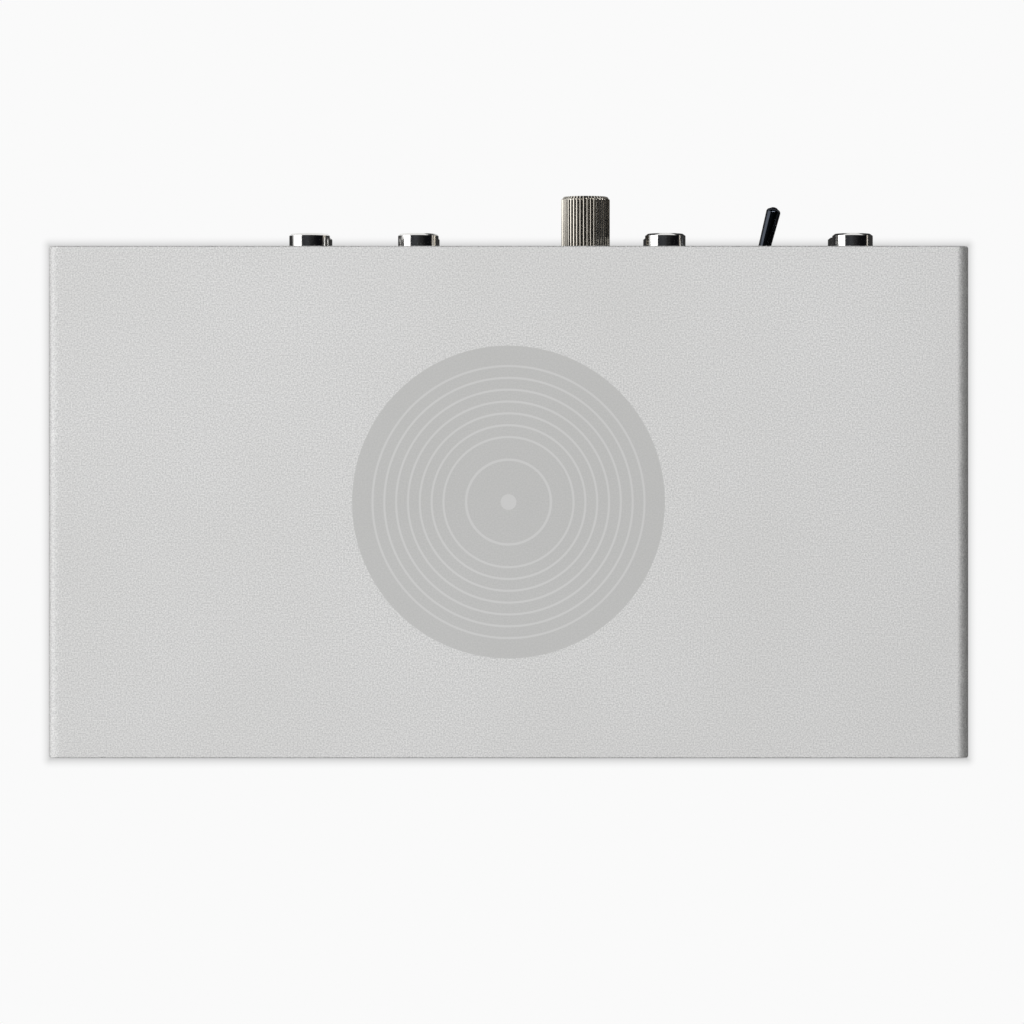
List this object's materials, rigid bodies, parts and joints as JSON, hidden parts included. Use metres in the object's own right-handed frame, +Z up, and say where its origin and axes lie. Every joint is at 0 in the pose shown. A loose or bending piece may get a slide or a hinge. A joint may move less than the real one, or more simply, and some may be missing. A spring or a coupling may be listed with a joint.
{
  "type": "phono preamp",
  "caption": "Low folded-metal phono preamplifier box with stacked phono sockets, ground post, toggle switch and power inlet at the rear.",
  "frame": {"origin": "under the middle of the whole object's box, at the soles of the feet", "axes": "+Y towards the rear with the sockets, +Z up, +X to the right seen from above with the rear away from the viewer"},
  "size_m": [0.187, 0.115, 0.045],
  "materials": {
    "anodised_aluminium": "bead blasted, clear anodised",
    "tray_steel": "fine satin powder coat",
    "zinc_steel": "zinc plated",
    "black_screw_steel": "black oxide",
    "foot_rubber": "matt moulded",
    "board_laminate": "green solder mask",
    "black_moulding": "fine texture",
    "nickel_plate": "bright nickel",
    "contact_gold": "gold flashed",
    "red_plastic": "moulded",
    "white_plastic": "moulded",
    "black_chrome": "black chrome",
    "green_insulation": "extruded",
    "blue_insulation": "extruded",
    "capacitor_sleeve": "shrink sleeve",
    "film_box": "moulded box",
    "resistor_coat": "lacquer",
    "epoxy_package": "moulded epoxy",
    "heat_sink_black": "black anodised",
    "led_lens": "clear epoxy",
    "spring_steel": "bright"
  },
  "bodies": {
    "chassis": {"top_cover": "anodised_aluminium", "base_tray": "tray_steel", "cover_screws": "black_screw_steel", "cover_nuts": "zinc_steel", "foot_front_left": "foot_rubber", "foot_front_right": "foot_rubber", "foot_rear_left": "foot_rubber", "foot_rear_right": "foot_rubber", "foot_screws": "zinc_steel", "circuit_board": "board_laminate", "board_standoffs": "zinc_steel", "board_screws": "zinc_steel", "status_led": "led_lens", "led_holder": "black_moulding", "reservoir_capacitors": "capacitor_sleeve", "signal_capacitors": "capacitor_sleeve", "film_capacitors": "film_box", "op_amps": "epoxy_package", "resistors": "resistor_coat", "regulators": "epoxy_package", "heat_sinks": "heat_sink_black", "red_insulators": "red_plastic", "white_insulators": "white_plastic", "jack_screws": "black_screw_steel", "inlet_housing": "black_moulding", "inlet_pin": "nickel_plate", "inlet_spring": "spring_steel", "toggle_bushing": "nickel_plate", "toggle_pivot_pin": "spring_steel", "toggle_nut": "nickel_plate", "toggle_lock_washer": "nickel_plate", "toggle_bracket": "nickel_plate", "toggle_housing": "black_moulding", "toggle_terminals": "contact_gold", "toggle_wires": "blue_insulation", "ground_collar": "nickel_plate", "ground_stud": "nickel_plate", "ground_lug": "nickel_plate", "ground_lock_washer": "zinc_steel", "ground_hex_nut": "zinc_steel", "ground_wire": "green_insulation", "output_1_housing": "black_moulding", "output_1_shells": "nickel_plate", "output_1_contacts": "contact_gold", "output_2_housing": "black_moulding", "output_2_shells": "nickel_plate", "output_2_contacts": "contact_gold", "input_1_housing": "black_moulding", "input_1_shells": "nickel_plate", "input_1_contacts": "contact_gold", "input_2_housing": "black_moulding", "input_2_shells": "nickel_plate", "input_2_contacts": "contact_gold"},
    "toggle_lever": {"toggle_lever": "black_chrome", "toggle_plunger": "black_moulding", "toggle_spring": "spring_steel"},
    "contact_rocker": {"toggle_rocker": "contact_gold"},
    "post_washer": {"ground_washer": "nickel_plate"},
    "post_nut": {"ground_nut": "nickel_plate"}
  },
  "joints": [
    {"name": "toggle_tilt", "type": "hinge", "parent": "chassis", "child": "toggle_lever", "pos_m": [0.0514, 0.0415, 0.0273], "axis": [0, 0, 1], "range_deg": [0, 28.6]},
    {"name": "rocker_tip", "type": "hinge", "parent": "chassis", "child": "contact_rocker", "pos_m": [0.0514, 0.0343, 0.0273], "axis": [0, 0, 1], "range_deg": [-20.1, 0]},
    {"name": "ground_washer_slide", "type": "slide", "parent": "chassis", "child": "post_washer", "axis": [0, 1, 0], "range_m": [0, 0.0039]},
    {"name": "ground_nut_turn", "type": "hinge", "parent": "post_washer", "child": "post_nut", "pos_m": [0.0159, 0.0515, 0.0273], "axis": [0, 1, 0], "range_deg": [0, 1980]}
  ],
  "couplings": [
    {"joint": "rocker_tip", "follows": "toggle_tilt", "ratio": -0.6993},
    {"joint": "ground_washer_slide", "follows": "ground_nut_turn", "m_per_rad": 0.00011141}
  ]
}
